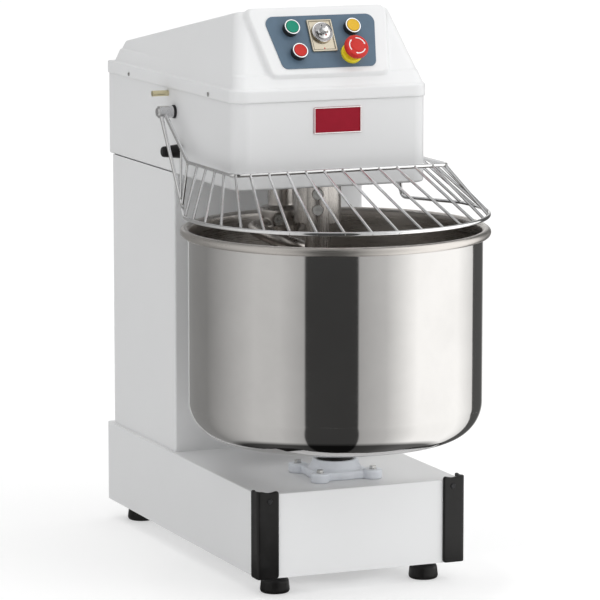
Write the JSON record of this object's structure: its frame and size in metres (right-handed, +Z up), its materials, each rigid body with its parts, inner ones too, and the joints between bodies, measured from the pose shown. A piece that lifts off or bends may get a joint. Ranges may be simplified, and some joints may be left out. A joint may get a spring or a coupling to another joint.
{
  "type": "spiral dough mixer",
  "caption": "Floor-standing spiral dough mixer with a turning steel bowl, spiral hook, breaker bar, hinged wire guard and sloping control panel.",
  "frame": {"origin": "centre of the bounding box's footprint, on the floor under the feet", "axes": "+X across the machine to its right as seen from the bowl, +Y from the bowl back to the column, +Z up"},
  "size_m": [0.4974, 0.8406, 0.9182],
  "materials": {
    "white_paint": "gloss",
    "silver_paint": "satin",
    "cover_white": "gloss",
    "stainless": "satin",
    "machined_steel": "satin",
    "zinc_steel": "satin",
    "chrome": "polished",
    "cast_grey": "painted",
    "cast_aluminium": "satin",
    "black_rubber": "matte",
    "black_plastic": "satin",
    "panel_film": "satin",
    "badge_red": "satin",
    "green_plastic": "satin",
    "red_plastic": "satin",
    "yellow_plastic": "satin",
    "timer_metal": "satin",
    "yellow_zinc": "satin"
  },
  "bodies": {
    "machine": {"base_housing": "white_paint", "corner_guard_left": "black_rubber", "corner_guard_right": "black_rubber", "corner_guard_screws": "black_plastic", "rubber_feet": "black_rubber", "foot_studs": "zinc_steel", "bowl_bearing_housing": "silver_paint", "bearing_housing_bolts": "zinc_steel", "bowl_bearings": "machined_steel", "bowl_shaft_seal": "black_rubber", "column_housing": "white_paint", "rear_cover": "white_paint", "cord_gland": "black_plastic", "head_housing": "white_paint", "head_floor_plate": "machined_steel", "badge_plate": "badge_red", "top_cover": "cover_white", "cover_screws": "zinc_steel", "control_panel": "panel_film", "button_bezels": "black_plastic", "emergency_stop_collar": "yellow_plastic", "button_contact_blocks": "black_plastic", "timer_body": "black_plastic", "timer_plate": "timer_metal", "spiral_bearing_housing": "cast_grey", "spiral_bearings": "machined_steel", "breaker_bar_holder": "stainless", "breaker_bar": "stainless", "breaker_bar_bolts": "zinc_steel", "motor_mount_plate": "machined_steel", "motor_stator": "cast_aluminium", "drive_belts": "black_rubber", "countershaft_bearings": "cast_grey", "roller_chains": "machined_steel", "guard_pivot_bushes": "black_plastic", "guard_rest_bumper": "black_rubber", "guard_stop_pin": "yellow_zinc", "guard_switch": "black_plastic"},
    "bowl": {"bowl": "stainless", "bowl_hub": "machined_steel", "bowl_shaft": "machined_steel", "bowl_sprocket": "machined_steel"},
    "spiral": {"dough_spiral": "stainless", "spiral_clamp_bolt": "zinc_steel", "spiral_shaft": "machined_steel", "spiral_pulley": "cast_grey", "spiral_sprocket": "machined_steel"},
    "countershaft": {"countershaft": "machined_steel", "countershaft_sprockets": "machined_steel"},
    "motor": {"motor_rotor": "machined_steel", "motor_pulley": "cast_grey"},
    "guard": {"guard_frame": "chrome", "guard_ring": "chrome", "guard_bars": "chrome", "guard_pivot_bolts": "chrome"},
    "slow_button": {"slow_button": "green_plastic"},
    "stop_button": {"stop_button": "red_plastic"},
    "fast_button": {"fast_button": "yellow_plastic"},
    "emergency_stop": {"emergency_stop": "red_plastic"},
    "timer_knob": {"timer_knob": "chrome"}
  },
  "joints": [
    {"name": "bowl_spin", "type": "hinge", "parent": "machine", "child": "bowl", "pos_m": [0, -0.17165, 0.233], "axis": [0, 0, 1], "continuous": true},
    {"name": "spiral_spin", "type": "hinge", "parent": "machine", "child": "spiral", "pos_m": [-0.03, -0.01765, 0.6], "axis": [0, 0, 1], "continuous": true},
    {"name": "countershaft_spin", "type": "hinge", "parent": "machine", "child": "countershaft", "pos_m": [0.072, 0.15835, 0.6], "axis": [0, 0, 1], "continuous": true},
    {"name": "motor_spin", "type": "hinge", "parent": "machine", "child": "motor", "pos_m": [0, 0.25835, 0.5], "axis": [0, 0, 1], "continuous": true},
    {"name": "guard_lift", "type": "hinge", "parent": "machine", "child": "guard", "pos_m": [0, 0.10405, 0.7369], "axis": [-1, 0, 0], "range_deg": [0, 155]},
    {"name": "slow_press", "type": "slide", "parent": "machine", "child": "slow_button", "axis": [0, 0.8572, -0.515], "range_m": [0, 0.004], "stiffness_N_per_m": 300, "springref_m": -0.002},
    {"name": "stop_press", "type": "slide", "parent": "machine", "child": "stop_button", "axis": [0, 0.8572, -0.515], "range_m": [0, 0.004], "stiffness_N_per_m": 300, "springref_m": -0.002},
    {"name": "fast_press", "type": "slide", "parent": "machine", "child": "fast_button", "axis": [0, 0.8572, -0.515], "range_m": [0, 0.004], "stiffness_N_per_m": 300, "springref_m": -0.002},
    {"name": "emergency_press", "type": "slide", "parent": "machine", "child": "emergency_stop", "axis": [0, 0.8572, -0.515], "range_m": [0, 0.005], "stiffness_N_per_m": 500, "springref_m": -0.002},
    {"name": "timer_turn", "type": "hinge", "parent": "machine", "child": "timer_knob", "pos_m": [-0.003, -0.11861, 0.87614], "axis": [0, 0.8572, -0.515], "range_deg": [0, 300]}
  ],
  "couplings": [
    {"joint": "spiral_spin", "follows": "bowl_spin", "ratio": 9.9467},
    {"joint": "countershaft_spin", "follows": "bowl_spin", "ratio": 3.1538},
    {"joint": "motor_spin", "follows": "bowl_spin", "ratio": 53.803}
  ]
}
